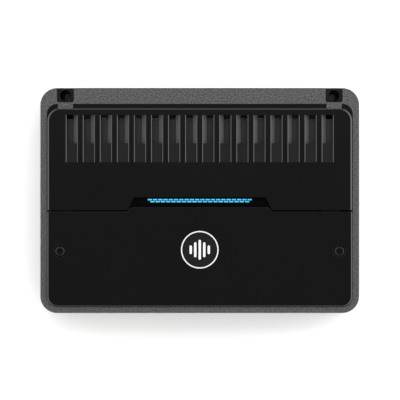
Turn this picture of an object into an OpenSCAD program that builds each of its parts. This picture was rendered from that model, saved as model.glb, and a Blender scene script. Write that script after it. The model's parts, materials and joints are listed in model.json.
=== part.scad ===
// Compact car amplifier: a cast frame with a slotted rear lid over a heat sink, a lift-off
// front cover over the control deck, and a lit bar in the seam between them.
// X runs across, +Y points to the rear edge, +Z is up. The origin is the middle of the base.

/* [Overall size] */
// Width across the frame
body_w = 255; // [250:1:320]
// Depth from the front face to the rear face
body_d = 180; // [178:1:230]
// Height from the base to the top of the lids
body_h = 52; // [51:0.5:66]
// Outer corner radius of the frame
corner_r = 13.4; // [9:0.1:16]

/* [Frame walls] */
// Thickness of the base plate
base_t = 2; // [1.5:0.1:2.5]
// Thickness of the frame's floor
floor_t = 2.5; // [2.2:0.1:3.5]
// Thickness of each side wall
side_wall = 5.1; // [4:0.1:6]
// Thickness of the front wall
front_wall = 4.7; // [3.5:0.1:5]
// Thickness of the finned rear wall
rear_wall = 12.7; // [12:0.1:14]
// Drop from the lids' top to the frame's rim
rim_drop = 2; // [1:0.1:2.4]
// Gap between the lids and the frame all round
lid_gap = 0.6; // [0.3:0.1:1]
// Width of the ledges that carry the lids
ledge_w = 3; // [2.5:0.1:4]
// Thickness of each ledge
ledge_t = 4; // [3:0.5:5]

/* [Rear wall fins] */
// Distance from one rear groove to the next
groove_pitch = 6.8; // [5:0.1:10]
// Width of each rear groove
groove_w = 3.4; // [2:0.1:4]
// Depth of each rear groove
groove_depth = 7.5; // [4:0.5:8]
// Number of rear grooves
groove_count = 27; // [1:2:27]
// Metal left under and over the grooves
groove_margin = 4; // [2:0.5:8]

/* [Mounting] */
// Distance from each side face to the mounting holes
mount_inset = 20; // [19.5:0.1:22]
// Distance from the rear face to the rear mounting holes
rear_hole_inset = 6; // [5:0.1:7]
// Distance from the front face to the front mounting holes
front_hole_inset = 14; // [13.8:0.1:18]
// Radius of the mounting holes
mount_hole_r = 2.75; // [2:0.05:3.2]
// Width of the notches over the rear mounting holes
notch_w = 13.5; // [12:0.1:13.8]
// Depth of the notches over the rear mounting holes
notch_d = 11.4; // [10.5:0.1:12]
// Corner radius inside the notches
notch_r = 1.8; // [0.5:0.1:3]
// Width of the blocks that back the notches
block_w = 12.2; // [10:0.1:18]
// How far the blocks reach past the rear wall
block_reach = 4.3; // [3:0.1:4.5]
// Inner radius of the wells over the front mounting holes
well_r = 6.5; // [6:0.1:6.8]
// Wall of the wells over the front mounting holes
well_wall = 1.8; // [1.5:0.1:2]
// Drop from the rim to the top of the sleeves in the rear notches
sleeve_drop = 3; // [2:0.5:8]
// Radius of the sleeves' wells over the rear mounting holes
sleeve_r = 4.4; // [4:0.1:4.5]

/* [Rear lid] */
// Thickness of the lid's top
lid_t = 3.2; // [2.8:0.1:4]
// Height of the wall under the lid's edge
lid_skirt = 2.8; // [2:0.1:3]
// Thickness of the wall under the lid's edge
lid_wall = 2.5; // [2:0.1:3]
// Width of the sunken channel behind the lid
channel_w = 3.5; // [2:0.1:3.8]
// Corner radius of the lid's rear corners
lid_corner_r = 10; // [6:0.5:12]
// Chamfer round the lid's outer edges
lid_chamfer = 1.2; // [0.4:0.1:1.5]
// Number of slots in the lid
slot_count = 16; // [2:2:16]
// Distance from one slot to the next
slot_pitch = 13.64; // [11:0.01:13.8]
// Width of each slot
slot_w = 8.4; // [6:0.1:9]
// Width of the chamfer on the slots' long edges
slot_chamfer = 0.6; // [0.2:0.1:0.9]
// Length of each slot
slot_len = 37.8; // [30:0.1:40]
// Length of the ramp at the front of each slot
ramp_len = 15.1; // [8:0.1:18]
// Depth of the ramp where it meets the open throat
ramp_depth = 1.8; // [1:0.1:2.4]
// Distance from the lid's rear edge to the slots
slot_inset = 5.4; // [5:0.1:8]
// Length of the tongues that hold the lid down under the front cover
tongue_len = 15; // [14:0.5:20]
// Width of the tongues
tongue_w = 14; // [11:0.5:16]
// Thickness of the tongues
tongue_t = 2.2; // [2:0.1:2.4]
// Drop from the lid's underside to the tongues
tongue_drop = 2.4; // [1:0.1:2.6]

/* [Front cover] */
// Thickness of the front cover
cover_t = 2.6; // [2.2:0.1:3]
// Corner radius of the front cover's front corners
cover_corner_r = 8; // [6:0.1:9]
// Chamfer round the front cover's outer edges
cover_chamfer = 0.8; // [0.4:0.1:1.2]
// Distance from each side face to the cover screws
cover_screw_inset = 15.65; // [15:0.05:18]
// Distance from the front face to the cover screws
cover_screw_y = 49.5; // [40:0.1:55]
// Radius of the counterbores for the cover screws
counterbore_r = 5; // [4.2:0.1:5.4]
// Depth of the counterbores
counterbore_depth = 2.8; // [2.5:0.1:3]
// Radius of the bosses under the counterbores
cover_boss_r = 7; // [6.4:0.1:7.2]
// Height of the bosses under the front cover
cover_boss_h = 2.4; // [2:0.1:3]
// Radius of the posts that take the cover screws
post_r = 4.5; // [4:0.1:5.5]
// Diameter of the badge
badge_d = 30.1; // [20:0.1:40]
// Depth of the badge's recess
badge_recess = 1.6; // [1:0.1:1.8]
// Width of the badge's bright rim
badge_rim = 1; // [0.8:0.1:3]
// Distance from the front face to the badge's middle
badge_y = 50.6; // [40:0.1:60]

/* [Seam and light bar] */
// Middle of the seam between the lids
seam_y = -8.3; // [-12:0.1:0]
// Width of the seam
seam_w = 1.5; // [1:0.1:3]
// Half-width of the recess at its straight rear edge
recess_half = 51.6; // [46:0.1:70]
// Half-width of the recess where it meets the seam
recess_base = 59; // [56:0.1:80]
// How far the recess cuts into the rear lid
recess_rear = 10.2; // [6:0.1:12]
// How far the front cover's tab reaches into the recess
tab_reach = 3.6; // [1:0.1:5]
// Half-width of the front cover's tab
tab_half = 54.3; // [48:0.1:72]
// Number of light windows in the rear row
window_count = 20; // [6:1:24]
// Distance from one light window to the next
window_pitch = 4.21; // [4:0.01:4.4]
// Length of each light window
window_len = 3.4; // [2:0.1:3.6]
// Width of each light window
window_w = 1.1; // [0.8:0.05:1.3]
// Distance between the two rows of light windows
row_pitch = 1.6; // [1.5:0.05:2.5]

/* [Control deck] */
// Drop from the lids' top to the deck
deck_drop = 12; // [11:0.5:13]
// Thickness of the deck
deck_t = 2; // [1.5:0.1:2.5]
// Number of rotary controls
knob_count = 4; // [4:1:4]
// Distance from one rotary control to the next
knob_pitch = 18; // [14:0.5:20]
// Radius of each rotary knob
knob_r = 5; // [4:0.1:6]
// Height of each rotary knob
knob_h = 3.6; // [2.5:0.1:4]
// Radius of the rotary controls' shafts
shaft_r = 3; // [2:0.1:3.2]
// Travel of each slide switch
switch_travel = 4; // [2:0.5:5]
// Length of each switch lever
lever_len = 5; // [4:0.5:7]
// Width of each switch lever
lever_w = 3; // [2:0.5:4]

/* [Connections] */
// Radius of the two supply terminals' wire holes
power_bore_r = 4.5; // [3:0.1:5.2]
// Radius of the turn-on terminal's wire hole
trigger_bore_r = 1.6; // [1:0.1:2]
// Radius of the speaker terminals' wire holes
speaker_bore_r = 2.25; // [1.5:0.05:2.7]
// Length of the terminals' wire holes
wire_bore_len = 14; // [10:0.5:14.5]
// Number of signal jacks
jack_count = 4; // [2:1:4]
// Outer radius of each signal jack
jack_r = 4.15; // [4:0.05:4.3]
// Distance from one signal jack to the next
jack_pitch = 14; // [13.5:0.5:14]

/* [Heat sink] */
// Thickness of the heat sink's slab
slab_t = 3; // [2:0.5:4]
// Drop from the lids' top to the heat sink's slab
slab_drop = 9; // [8:0.5:9]
// Thickness of the heat sink's upright leg
leg_t = 6; // [5:0.5:6]
// Width of each heat sink fin at its top
fin_top = 4.4; // [3:0.1:5]
// Width of the sloped flank on the side of each fin that faces away from the middle
flank_w = 3.3; // [1:0.1:3.4]
// Height of the sloped flank
flank_h = 3; // [1:0.1:4]
// Length of the air gaps at the rear ends of the channels
air_gap = 5.2; // [2:0.1:6]

/* [Hidden] */
$fn = 64;
eps = 0.01;
fit = 0.1;
running = 0.05;
half_w = body_w / 2;
half_d = body_d / 2;
floor_top = base_t + floor_t;
rim_top = body_h - rim_drop;
lid_under = body_h - lid_t;
lid_seat = lid_under - lid_skirt;
cover_under = body_h - cover_t;
deck_top = body_h - deck_drop;
deck_under = deck_top - deck_t;
inner_x = half_w - side_wall;
front_in = -half_d + front_wall;
rear_in = half_d - rear_wall;
inner_r = corner_r - side_wall;

// Lids
lid_half = inner_x - lid_gap;
lid_rear = rear_in - channel_w;
lid_front = seam_y + seam_w / 2;
cover_rear = seam_y - seam_w / 2;
cover_front = front_in + lid_gap;
recess_y = lid_front + recess_rear;
tab_y = cover_rear + tab_reach;
tab_base = tab_half + 5.2;
slot_rear = lid_rear - slot_inset;
slot_front = slot_rear - slot_len;
throat_front = slot_front + ramp_len;
tongue_x = half_w - 22.5;
tongue_front = lid_front - tongue_len;
tongue_top = lid_under - tongue_drop;
tongue_bottom = tongue_top - tongue_t;
tongue_screw_y = tongue_front + 6;
column_r = 4;

// Fasteners: shank radius, head radius and head height
m3 = [1.5, 2.9, 1.7];
m4 = [2, 3.8, 2.4];
thread_gap = 0.1;

// Mounting
mount_x = half_w - mount_inset;
rear_hole_y = half_d - rear_hole_inset;
front_hole_y = -half_d + front_hole_inset;
notch_front = half_d - notch_d;
block_front = rear_in - block_reach;
base_screw_x = inner_x - 6.4;
base_screw_ys = [front_in + 25.3, 5, rear_in - 17.3];
base_boss_h = 4.5;

// Rear fins
fins_half = ((groove_count - 1) * groove_pitch + groove_w) / 2 + 1.7;
fins_front = half_d - groove_depth - 1.5;
fins_z = [base_t + groove_margin, rim_top - groove_margin];

// Cover screws and badge
screw_x = half_w - cover_screw_inset;
screw_y = -half_d + cover_screw_y;
boss_bottom = cover_under - cover_boss_h;
counterbore_z = body_h - counterbore_depth;
badge_mid = -half_d + badge_y;
badge_r = badge_d / 2;
badge_floor = body_h - badge_recess;

// Heat sink
slab_top = body_h - slab_drop;
slab_bottom = slab_top - slab_t;
fin_z = lid_under - 0.3;
fin_rear = lid_rear - lid_wall - 0.8;
fin_front = throat_front - 3.7;
leg_rear = fin_rear + 1.5;
leg_front = leg_rear - leg_t;
slab_half = slot_count / 2 * slot_pitch + fin_top / 2 + flank_w;
leg_half = min(slab_half, inner_x - 22.4);

// Main board and what stands on it
pcb_bottom = floor_top + 5;
pcb_t = 1.6;
pcb_top = pcb_bottom + pcb_t;
pcb_half = inner_x - 28.4;
pcb_rear = leg_front - 4;
panel_rear = front_in + 7.3;
panel_t = 2;
panel_front = panel_rear - panel_t;
pcb_front = panel_rear + 2;
standoff_x = pcb_half - 6;
standoff_ys = [pcb_front + 18, 0, pcb_rear - 12];
transistor_count = 8;
transistor_pitch = 22;
transistor_size = [15.9, 5, 21];
transistor_z = pcb_top + 4;
pad_t = 0.5;
transistor_rear = leg_front - pad_t;
transistor_front = transistor_rear - transistor_size[1];
clamp_t = 1.5;
clamp_z = transistor_z + 14;
toroid_at = [-pcb_half + 36, leg_front - 36];
inductor_xs = [-12, 20];
inductor_size = [28, 28, 20];
inductor_y = leg_front - 46;
capacitor_xs = [52, 72];
capacitor_ys = [leg_front - 52, leg_front - 32];
filter_xs = [14, 34, 54, 74];
filter_y = seam_y - 16;

// Control deck
deck_half = inner_x - ledge_w - 0.4;
deck_front = front_in + ledge_w + 0.4;
deck_rear = seam_y + 16.3;
deck_ledge_w = ledge_w + 2;
deck_screw_x = pcb_half + 5.5;
deck_screw_ys = [deck_front + 23.9, deck_rear - 6];
knob_y = screw_y + 4.5;
knob_x0 = -78;
knob_bottom = deck_top + 0.3;
switch_y = knob_y - 20;
switch_xs = [-72, -51, -30];
slot_long = lever_len + switch_travel + 0.4;
board_t = 1.6;
board_top = deck_under - 7;
board_bottom = board_top - board_t;
board_x = [knob_x0 - 12, -4];
board_y = [switch_y - 8, knob_y + 12];
led_x = -12;
led_ys = [knob_y - 5, knob_y + 5];
led_r = 1.5;

// Light bar
bar_y = (tab_y + recess_y) / 2 + 2.1;
bezel_half = recess_base + 3;
bezel_front = tab_y - 0.8;
bezel_rear = recess_y + 1;
bezel_top = body_h - 5;
window_floor = bezel_top - 1.4;
guide_half = recess_half + 3;
guide_y = [bar_y - row_pitch - 1.4, bar_y + 1.4];
led_board_t = 1.2;

// Front connections
jack_z = pcb_top + 9.4;
jack_x0 = -84;
jack_front = -half_d + 0.7;
port_x = -19.5;
terminal_front = -half_d + 3;
block_front_y = terminal_front + 2;
block_rear_y = block_front_y + wire_bore_len + 2;
clamp_screw_y = panel_rear + 3.5;
terminal_z = pcb_top + 9;
speaker_xs = [3, 13, 23, 33];
speaker_block = [8.4, 16];
power_xs = [56, 84];
power_block = [15, 17];
trigger_x = 70;
trigger_block = [6, 12];
terminal_wall = 2.2;
block_z = pcb_top + 1.5;
window_half = 95.5;
window_z = [floor_top + 4.5, deck_under - ledge_t - 1];
panel_half = window_half + 2;

// A box from its low corner to its high corner
module block(low, high) {
    translate(low)
        cube(high - low);
}

// A rectangle from low to high with its rear and front corners rounded
module plate_outline(low, high, rear_r, front_r) {
    difference() {
        translate(low)
            square(high - low);
        for (corner = [[low[0], low[1], 1, 1, front_r], [high[0], low[1], -1, 1, front_r],
                       [low[0], high[1], 1, -1, rear_r], [high[0], high[1], -1, -1, rear_r]])
            if (corner[4] > 0)
                translate([corner[0], corner[1]])
                    scale([corner[2], corner[3]])
                        difference() {
                            translate([-eps, -eps])
                                square(corner[4] + eps);
                            translate([corner[4], corner[4]])
                                circle(r = corner[4]);
                        }
    }
}

// The chamfered top layer of a lid. It is straight at the seam and rounded at its far edge,
// which is on the +Y side when side is 1 and on the -Y side when side is -1
module chamfer_layer(half, seam, far, r, c, side) {
    length = abs(far - seam);
    translate([0, seam, body_h - c])
        mirror([0, side == 1 ? 0 : 1, 0]) {
            translate([0, length - r, 0])
                rotate([90, 0, 0])
                    linear_extrude(length - r)
                        polygon([[-half, 0], [half, 0], [half - c, c], [c - half, c]]);
            translate([r - half, 0, 0])
                rotate([90, 0, 90])
                    linear_extrude(2 * (half - r))
                        polygon([[0, 0], [length, 0], [length - c, c], [0, c]]);
            for (end = [-1, 1])
                translate([end * (half - r), length - r, 0])
                    cylinder(h = c, r1 = r, r2 = r - c);
        }
}

// The frame's outer outline, shared by the base plate and the frame
module frame_outline() {
    plate_outline([-half_w, -half_d], [half_w, half_d], corner_r, corner_r);
}

// The inside of the frame, pulled in by inset
module cavity_outline(inset) {
    plate_outline([-inner_x + inset, front_in + inset], [inner_x - inset, rear_in - inset],
        inner_r - inset, inner_r - inset);
}

// A ledge round the inside of the frame from y0 to y1, its top at z
module ledge(width, y0, y1, z) {
    translate([0, 0, z - ledge_t])
        linear_extrude(ledge_t)
            intersection() {
                difference() {
                    cavity_outline(0);
                    cavity_outline(width);
                }
                translate([-half_w, y0])
                    square([body_w, y1 - y0]);
            }
}

// A screw pointing down from a seat, with a socket in its round head
module cap_screw(at, seat, size, length) {
    translate([at[0], at[1], seat]) {
        translate([0, 0, -length])
            cylinder(h = length + eps, r = size[0]);
        difference() {
            cylinder(h = size[2], r = size[1]);
            translate([0, 0, size[2] / 3])
                cylinder(h = size[2], r = size[0] * 0.7, $fn = 6);
        }
    }
}

// A flush screw pointing down, with a cone under its head
module flush_screw(at, top, size, length) {
    translate([at[0], at[1], top - length])
        difference() {
            union() {
                cylinder(h = length, r = size[0]);
                translate([0, 0, length - size[2]])
                    cylinder(h = size[2], r1 = size[0], r2 = size[1]);
            }
            translate([0, 0, length - size[2] / 2])
                cylinder(h = size[2], r = size[0] * 0.6, $fn = 6);
        }
}

// The hole that a flush screw sits in
module flush_hole(at, top, size, length) {
    translate([at[0], at[1], top - length])
        cylinder(h = length + eps, r = size[0] + thread_gap);
    translate([at[0], at[1], top - size[2] - thread_gap])
        cylinder(h = size[2] + thread_gap + eps, r1 = size[0], r2 = size[1] + thread_gap);
}

// Points at both signs of x and every y
function mirrored(x, ys) = [for (y = ys, side = [-1, 1]) [side * x, y]];

// A smooth S from one point to another, flat at both ends
function s_curve(from, to) = [for (i = [0 : 12])
    [from[0] + (to[0] - from[0]) * i / 12,
     from[1] + (to[1] - from[1]) * (1 - cos(180 * i / 12)) / 2]];

module base_plate() {
    color("#1c1c1e")
        difference() {
            linear_extrude(base_t)
                frame_outline();
            for (y = [rear_hole_y, front_hole_y], side = [-1, 1])
                translate([side * mount_x, y, -eps])
                    cylinder(h = base_t + 2 * eps, r = mount_hole_r);
            for (at = mirrored(base_screw_x, base_screw_ys))
                mirror([0, 0, 1])
                    flush_hole(at, 0, m3, base_t + 1);
        }
}

// A finned strip let into the rear face, under the rim
module rear_fins() {
    color("#6f7174")
        difference() {
            block([-fins_half, fins_front, fins_z[0]], [fins_half, half_d, fins_z[1]]);
            for (i = [0 : groove_count - 1])
                translate([(i - (groove_count - 1) / 2) * groove_pitch, 0, 0])
                    block([-groove_w / 2, half_d - groove_depth, fins_z[0] - 1],
                          [groove_w / 2, half_d + 1, fins_z[1] + 1]);
        }
}

// Posts for the front cover's screws, the tongues' screws and the deck's screws
module frame_posts() {
    color("#8a8c90") {
        for (at = mirrored(screw_x, [screw_y]))
            post(at, post_r, boss_bottom, m4[0], 14);
        for (at = mirrored(tongue_x, [tongue_screw_y]))
            post(at, column_r, tongue_bottom, m3[0], 12);
        for (at = mirrored(deck_screw_x, deck_screw_ys))
            post(at, column_r - 0.5, deck_under, m3[0], 12);
    }
}

// Tubes over the front mounting holes, which keep a driver off the boards
module well_tubes() {
    color("#8a8c90")
        for (at = mirrored(mount_x, [front_hole_y]))
            difference() {
                column(at, well_r + well_wall, floor_top, deck_under);
                column(at, well_r, floor_top - 1, deck_under + 1);
            }
}

// Sleeves that line the rear notches, each with a well over its mounting hole
module notch_sleeves() {
    color("#18181a")
        for (side = [-1, 1])
            difference() {
                translate([0, 0, base_t])
                    linear_extrude(rim_top - base_t - sleeve_drop)
                        plate_outline([side * mount_x - notch_w / 2 + fit, notch_front + fit],
                            [side * mount_x + notch_w / 2 - fit, half_d], 0, notch_r);
                translate([side * mount_x, rear_hole_y, base_t - eps])
                    cylinder(h = body_h, r = sleeve_r);
            }
}

module base_screws() {
    color("#2b2b2e")
        for (at = mirrored(base_screw_x, base_screw_ys))
            mirror([0, 0, 1])
                flush_screw(at, 0, m3, base_t + floor_t + 3);
}

// A round column from one height to another
module column(at, r, bottom, top) {
    translate([at[0], at[1], bottom])
        cylinder(h = top - bottom, r = r);
}

// A post on the frame's floor with a screw hole of the given depth in its top
module post(at, r, top, hole_r, hole_depth) {
    difference() {
        column(at, r, floor_top, top);
        column(at, hole_r + thread_gap, top - hole_depth, top + eps);
    }
}

module chassis() {
    color("#77797c")
        difference() {
            union() {
                difference() {
                    translate([0, 0, base_t])
                        linear_extrude(rim_top - base_t)
                            frame_outline();
                    translate([0, 0, floor_top])
                        linear_extrude(body_h)
                            cavity_outline(0);
                }
                ledge(ledge_w, seam_y, rear_in, lid_seat);
                ledge(ledge_w, front_in, cover_rear - 0.5, cover_under);
                ledge(deck_ledge_w, front_in, deck_rear, deck_under);
                for (side = [-1, 1])
                    block([side * mount_x - block_w / 2, block_front, floor_top - eps],
                          [side * mount_x + block_w / 2, rear_in + eps, rim_top]);
                for (at = mirrored(base_screw_x, base_screw_ys))
                    column(at, column_r, floor_top - eps, floor_top + base_boss_h);
            }
            for (side = [-1, 1])
                translate([0, 0, base_t - eps])
                    linear_extrude(body_h)
                        plate_outline([side * mount_x - notch_w / 2, notch_front],
                            [side * mount_x + notch_w / 2, half_d + 1], 0, notch_r);
            for (at = mirrored(mount_x, [front_hole_y])) {
                column(at, mount_hole_r, base_t - eps, floor_top + eps);
                column(at, well_r + well_wall + fit, floor_top, deck_under + eps);
                column(at, well_r, deck_under, body_h);
            }
            for (at = mirrored(base_screw_x, base_screw_ys))
                translate([at[0], at[1], base_t - eps])
                    cylinder(h = floor_t + 3.5, r = m3[0] + thread_gap);
            for (at = mirrored(leg_half - 10, [leg_rear - leg_t / 2]))
                mirror([0, 0, 1])
                    flush_hole(at, -base_t, m3, floor_t + eps);
            block([-fins_half - fit, fins_front - fit, fins_z[0] - fit],
                  [fins_half + fit, half_d + eps, fins_z[1] + fit]);
            block([-window_half, -half_d - eps, window_z[0]],
                  [window_half, front_in + eps, window_z[1]]);
        }
}

// The recess for the light bar in the rear lid's front edge
module recess_outline() {
    polygon(concat(s_curve([recess_base, lid_front - eps], [recess_half, recess_y]),
        s_curve([-recess_half, recess_y], [-recess_base, lid_front - eps])));
}

// One slot: chamfered long edges, a ramp at the front and an open throat behind it
module lid_slot(x) {
    low = lid_under - 1;
    high = body_h + 1;
    half = slot_w / 2;
    intersection() {
        translate([x, slot_rear, 0])
            rotate([90, 0, 0])
                linear_extrude(slot_len)
                    polygon([[-half, low], [half, low], [half, body_h - slot_chamfer],
                             [half + slot_chamfer + 1, high],
                             [-half - slot_chamfer - 1, high], [-half, body_h - slot_chamfer]]);
        translate([x - slot_pitch / 2, 0, 0])
            rotate([90, 0, 90])
                linear_extrude(slot_pitch)
                    polygon([[slot_front, high], [slot_front, body_h - slot_chamfer - 0.1],
                             [throat_front, body_h - ramp_depth],
                             [throat_front, low], [slot_rear, low], [slot_rear, high]]);
    }
}

module top_lid() {
    color("#232326")
        difference() {
            union() {
                translate([0, 0, lid_under])
                    linear_extrude(lid_t - lid_chamfer)
                        plate_outline([-lid_half, lid_front], [lid_half, lid_rear],
                            lid_corner_r, 0);
                chamfer_layer(lid_half, lid_front, lid_rear, lid_corner_r, lid_chamfer, 1);
                translate([0, 0, lid_seat])
                    linear_extrude(lid_skirt)
                        difference() {
                            plate_outline([-lid_half, lid_front],
                                [lid_half, rear_in - fit * 2], inner_r - lid_gap, 0);
                            plate_outline([-lid_half + lid_wall, lid_front - 1],
                                [lid_half - lid_wall, lid_rear - lid_wall], 5, 0);
                        }
                for (side = [-1, 1])
                    translate([side * tongue_x, 0, 0]) {
                        block([-tongue_w / 2, tongue_front, tongue_bottom],
                              [tongue_w / 2, lid_front + 6, tongue_top]);
                        block([-tongue_w / 2, lid_front + 1, tongue_bottom],
                              [tongue_w / 2, lid_front + 6, lid_under + eps]);
                    }
            }
            translate([0, 0, lid_under - 1])
                linear_extrude(lid_t + 2)
                    recess_outline();
            for (i = [0 : slot_count - 1])
                lid_slot((i - (slot_count - 1) / 2) * slot_pitch);
            for (side = [-1, 1])
                block([side * mount_x - block_w / 2 - 0.3, block_front - 0.3, lid_seat - 1],
                      [side * mount_x + block_w / 2 + 0.3, half_d, body_h + 1]);
            for (at = mirrored(tongue_x, [tongue_screw_y]))
                flush_hole(at, tongue_top, m3, tongue_t + 1);
        }
}

module lid_screws() {
    color("#2b2b2e")
        for (at = mirrored(tongue_x, [tongue_screw_y]))
            flush_screw(at, tongue_top, m3, 12);
}

// One fin, upright on the side that faces the middle and sloped on the other
module heat_sink_fin(x, side) {
    half = fin_top / 2;
    translate([x, fin_rear, 0])
        mirror([side == 1 ? 0 : 1, 0, 0])
            rotate([90, 0, 0])
                linear_extrude(fin_rear - fin_front)
                    polygon([[-half, slab_top - eps], [half + flank_w, slab_top - eps],
                             [half + flank_w, fin_z - flank_h], [half, fin_z], [-half, fin_z]]);
}

// A pocket at the rear end of the channel between two fins
module air_gap_cut(x) {
    half = (slot_pitch - fin_top) / 2;
    side = x > 0 ? 1 : -1;
    edges = [x - side * (half - flank_w - fit), x + side * (half - fit)];
    block([min(edges), fin_rear - air_gap, slab_bottom - 3],
          [max(edges), leg_rear + 1, slab_top + 1]);
}

module heat_sink() {
    color("#303034")
        difference() {
            union() {
                block([-slab_half, fin_front - 2, slab_bottom], [slab_half, leg_rear, slab_top]);
                block([-leg_half, leg_front, floor_top], [leg_half, leg_rear, slab_top]);
                for (i = [0 : slot_count], side = [-1, 1])
                    if (side * (i - slot_count / 2) >= 0)
                        heat_sink_fin((i - slot_count / 2) * slot_pitch, side);
            }
            for (i = [0 : slot_count - 1])
                air_gap_cut((i - (slot_count - 1) / 2) * slot_pitch);
            for (at = mirrored(leg_half - 10, [leg_rear - leg_t / 2]))
                translate([at[0], at[1], floor_top - 1])
                    cylinder(h = 9, r = m3[0] + thread_gap);
            for (i = [0 : transistor_count / 2 - 1])
                translate([clamp_x(i), leg_front - 1, clamp_z])
                    rotate([-90, 0, 0])
                        cylinder(h = leg_t, r = m3[0] + thread_gap);
        }
}

module heat_sink_screws() {
    color("#2b2b2e")
        for (at = mirrored(leg_half - 10, [leg_rear - leg_t / 2]))
            mirror([0, 0, 1])
                flush_screw(at, -base_t, m3, floor_t + 7);
}

function transistor_x(i) = (i - (transistor_count - 1) / 2) * transistor_pitch;
function clamp_x(i) = (transistor_x(2 * i) + transistor_x(2 * i + 1)) / 2;

module power_transistors() {
    color("#1a1a1c")
        for (i = [0 : transistor_count - 1]) {
            x = transistor_x(i);
            block([x - transistor_size[0] / 2, transistor_front, transistor_z],
                  [x + transistor_size[0] / 2, transistor_rear,
                   transistor_z + transistor_size[2]]);
            for (pin = [-5.4, 0, 5.4])
                block([x + pin - 0.6, transistor_front + 0.4, pcb_top],
                      [x + pin + 0.6, transistor_front + 1, transistor_z + eps]);
        }
}

module thermal_pads() {
    color("#b9bcc2")
        for (i = [0 : transistor_count - 1])
            block([transistor_x(i) - 9, transistor_rear, transistor_z - 1],
                  [transistor_x(i) + 9, leg_front, transistor_z + transistor_size[2] + 1]);
}

module transistor_clamps() {
    color("#9a9ca0")
        for (i = [0 : transistor_count / 2 - 1])
            difference() {
                block([clamp_x(i) - 16, transistor_front - clamp_t, clamp_z - 4],
                      [clamp_x(i) + 16, transistor_front, clamp_z + 4]);
                translate([clamp_x(i), transistor_front + 1, clamp_z])
                    rotate([90, 0, 0])
                        cylinder(h = clamp_t + 2, r = m3[0] + thread_gap);
            }
}

module clamp_bar_screws() {
    color("#c3c5c8")
        for (i = [0 : transistor_count / 2 - 1])
            translate([clamp_x(i), transistor_front - clamp_t, clamp_z])
                rotate([90, 0, 0])
                    cap_screw([0, 0], 0, m3, clamp_t + transistor_size[1] + pad_t + leg_t - 1.5);
}

module main_pcb() {
    color("#1f5a34")
        difference() {
            block([-pcb_half, pcb_front, pcb_bottom], [pcb_half, pcb_rear, pcb_top]);
            for (at = mirrored(standoff_x, standoff_ys))
                translate([at[0], at[1], pcb_bottom - 1])
                    cylinder(h = pcb_t + 2, r = m3[0] + thread_gap);
        }
}

module pcb_standoffs() {
    color("#c8a850")
        for (at = mirrored(standoff_x, standoff_ys))
            translate([at[0], at[1], floor_top])
                difference() {
                    cylinder(h = pcb_bottom - floor_top, r = 3.2);
                    translate([0, 0, 1])
                        cylinder(h = pcb_bottom, r = m3[0] + thread_gap);
                }
}

module pcb_screws() {
    color("#c3c5c8")
        for (at = mirrored(standoff_x, standoff_ys))
            cap_screw(at, pcb_top, m3, pcb_t + 3);
}

// A ring of rectangular section on the board
module ring(outer, inner, low, high) {
    translate([toroid_at[0], toroid_at[1], 0])
        rotate_extrude()
            translate([inner, low])
                square([outer - inner, high - low]);
}

module toroid_core() {
    color("#3d4a3f")
        ring(22, 11.5, pcb_top + 3, pcb_top + 19);
}

module toroid_winding() {
    color("#b06a2c")
        difference() {
            ring(25, 8.5, pcb_top, pcb_top + 22);
            ring(22, 11.5, pcb_top + 3, pcb_top + 19);
        }
}

module output_inductors() {
    color("#3a3a3e")
        for (x = inductor_xs)
            difference() {
                block([x - inductor_size[0] / 2, inductor_y - inductor_size[1] / 2, pcb_top],
                      [x + inductor_size[0] / 2, inductor_y + inductor_size[1] / 2,
                       pcb_top + inductor_size[2]]);
                translate([x, inductor_y, pcb_top + inductor_size[2] - 1.5])
                    cylinder(h = 2, r = 9);
            }
}

// Upright cans standing on the board
module cans(xs, ys, r, h) {
    for (x = xs, y = ys)
        translate([x, y, pcb_top])
            cylinder(h = h, r = r);
}

module rail_capacitors() {
    color("#26303f")
        cans(capacitor_xs, capacitor_ys, 9, slab_bottom - pcb_top - 4);
}

module filter_capacitors() {
    color("#3b2f4a")
        cans(filter_xs, [filter_y], 8, deck_under - pcb_top - 4);
}

function knob_at(i) = [knob_x0 + i * knob_pitch, knob_y];

module control_deck() {
    color("#2a2a2d")
        difference() {
            translate([0, 0, deck_under])
                linear_extrude(deck_t)
                    plate_outline([-deck_half, deck_front], [deck_half, deck_rear], 1,
                        inner_r - ledge_w - 0.4);
            translate([0, 0, deck_under - 1]) {
                for (at = mirrored(mount_x, [front_hole_y]))
                    translate(at)
                        cylinder(h = deck_t + 2, r = well_r);
                for (at = mirrored(screw_x, [screw_y]))
                    translate(at)
                        cylinder(h = deck_t + 2, r = post_r + 0.3);
                for (at = mirrored(tongue_x, [tongue_screw_y]))
                    translate(at)
                        cylinder(h = deck_t + 2, r = column_r + 0.3);
                for (at = mirrored(deck_screw_x, deck_screw_ys))
                    translate(at)
                        cylinder(h = deck_t + 2, r = m3[0] + thread_gap);
                for (i = [0 : knob_count - 1])
                    translate(knob_at(i))
                        cylinder(h = deck_t + 2, r = shaft_r + running);
                for (x = switch_xs)
                    block([x - slot_long / 2, switch_y - lever_w / 2 - 0.2, 0],
                          [x + slot_long / 2, switch_y + lever_w / 2 + 0.2, deck_t + 2]);
                for (y = led_ys)
                    translate([led_x, y])
                        cylinder(h = deck_t + 2, r = led_r + fit);
                for (x = speaker_xs)
                    translate([x, clamp_screw_y])
                        cylinder(h = deck_t + 2, r = 2.8);
                for (x = concat(power_xs, [trigger_x]))
                    translate([x, clamp_screw_y])
                        cylinder(h = deck_t + 2, r = x == trigger_x ? 2.4 : 3.4);
            }
        }
}

module deck_screws() {
    color("#2b2b2e")
        for (at = mirrored(deck_screw_x, deck_screw_ys))
            cap_screw(at, deck_top, m3, 10);
}

module control_pcb() {
    color("#1f5a34")
        block([board_x[0], board_y[0], board_bottom], [board_x[1], board_y[1], board_top]);
}

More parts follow.
